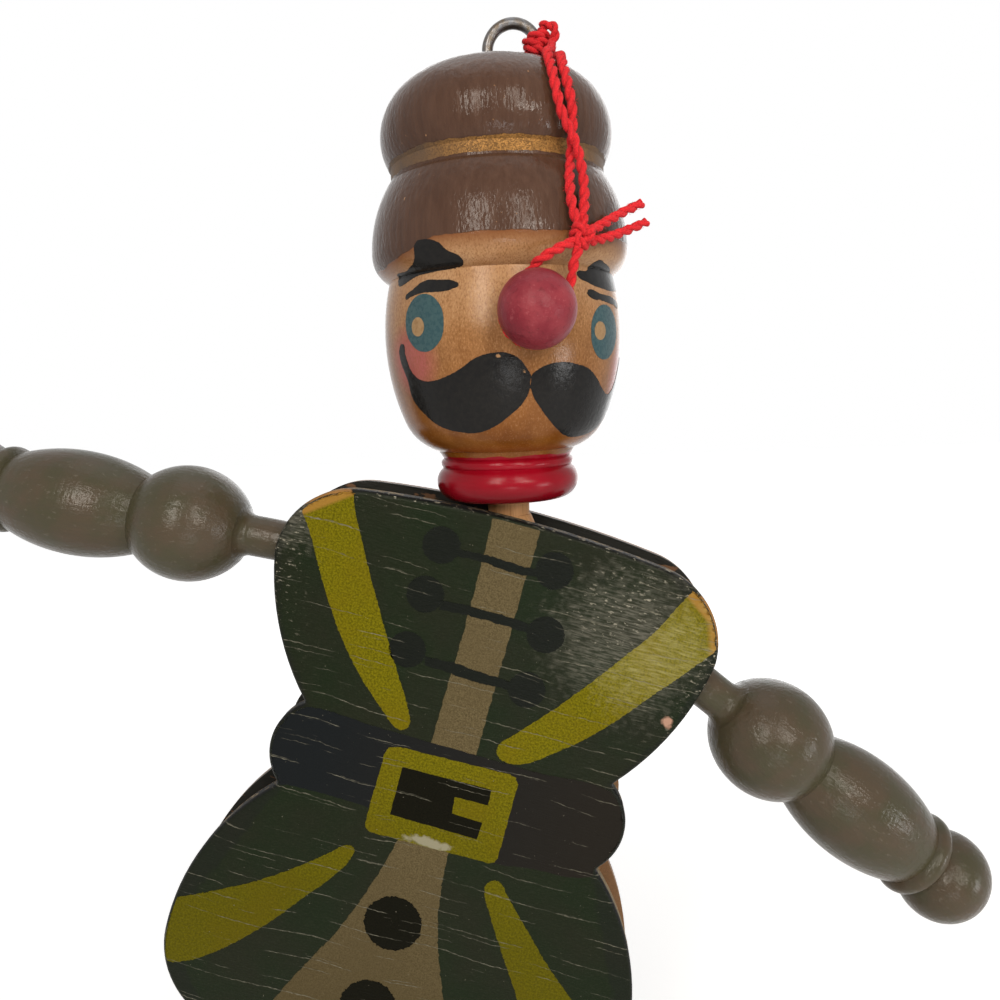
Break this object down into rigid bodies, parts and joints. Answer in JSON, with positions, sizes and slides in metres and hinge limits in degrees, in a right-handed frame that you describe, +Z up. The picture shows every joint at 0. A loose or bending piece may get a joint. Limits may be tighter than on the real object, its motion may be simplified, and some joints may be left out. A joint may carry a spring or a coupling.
{
  "type": "jumping jack ornament",
  "caption": "Wooden jumping jack figure with a turned head, a flat two-board coat and jointed limbs, hung from a screw eye with red yarn.",
  "frame": {"origin": "centre of the screw eye's ring, on top of the hat", "axes": "+Z up along the head's axis, -Y the side that the painted coat faces, +X to the viewer's right"},
  "size_m": [0.2127, 0.0572, 0.3092],
  "materials": {
    "turned_wood": "lacquered, hat and collar painted",
    "nose_paint": "satin paint",
    "steel_wire": "dull",
    "bare_wood": "bare",
    "bare_board": "bare inside, dark paint outside",
    "coat_paint": "satin paint with a printed coat",
    "nail_steel": "dull",
    "limb_paint": "satin paint",
    "string": "plain cotton",
    "red_yarn": "two-ply yarn"
  },
  "bodies": {
    "head": {"head": "turned_wood", "nose": "nose_paint", "screw_eye": "steel_wire", "yarn_hitch": "red_yarn", "yarn_knot": "red_yarn", "yarn_left_strand": "red_yarn", "yarn_right_strand": "red_yarn", "yarn_nose_loop": "red_yarn", "yarn_tails": "red_yarn"},
    "neck_peg": {"neck_peg": "bare_wood"},
    "torso": {"front_board": "coat_paint", "back_board": "bare_board", "left_waist_spacer": "bare_wood", "right_waist_spacer": "bare_wood", "left_skirt_spacer": "bare_wood", "right_skirt_spacer": "bare_wood", "spacer_brads": "nail_steel", "neck_pin": "nail_steel", "left_shoulder_pin": "nail_steel", "right_shoulder_pin": "nail_steel", "left_hip_pin": "nail_steel", "right_hip_pin": "nail_steel"},
    "left_arm": {"left_arm": "limb_paint"},
    "right_arm": {"right_arm": "limb_paint"},
    "left_leg": {"left_leg": "limb_paint"},
    "right_leg": {"right_leg": "limb_paint"},
    "pull_string": {"arm_string": "string", "leg_string": "string", "pull_line": "string"}
  },
  "joints": [
    {"name": "head_turn", "type": "hinge", "parent": "head", "child": "neck_peg", "pos_m": [-0.0036, -0.003, -0.09385], "axis": [0, 0, 1], "range_deg": [-180, 180]},
    {"name": "neck_tilt", "type": "hinge", "parent": "neck_peg", "child": "torso", "pos_m": [-0.0036, -0.003, -0.09385], "axis": [0, 1, 0], "range_deg": [-33, 0]},
    {"name": "left_arm", "type": "hinge", "parent": "torso", "child": "left_arm", "pos_m": [-0.03233, -0.003, -0.09577], "axis": [0, 1, 0], "range_deg": [-36, 54]},
    {"name": "right_arm", "type": "hinge", "parent": "torso", "child": "right_arm", "pos_m": [0.01945, -0.003, -0.11111], "axis": [0, -1, 0], "range_deg": [-36, 54]},
    {"name": "left_leg", "type": "hinge", "parent": "torso", "child": "left_leg", "pos_m": [-0.0483, -0.003, -0.1849], "axis": [0, 1, 0], "range_deg": [-18, 27]},
    {"name": "right_leg", "type": "hinge", "parent": "torso", "child": "right_leg", "pos_m": [-0.0157, -0.003, -0.19456], "axis": [0, -1, 0], "range_deg": [-18, 27]},
    {"name": "pull", "type": "slide", "parent": "torso", "child": "pull_string", "axis": [-0.284, 0, -0.9588], "range_m": [-0.005, 0.0075], "deforming": ["arm_string", "leg_string"]}
  ],
  "couplings": [
    {"joint": "right_arm", "follows": "left_arm", "ratio": 1},
    {"joint": "left_leg", "follows": "left_arm", "ratio": 0.5},
    {"joint": "right_leg", "follows": "left_arm", "ratio": 0.5},
    {"joint": "pull", "follows": "left_arm", "m_per_rad": 0.0073}
  ]
}
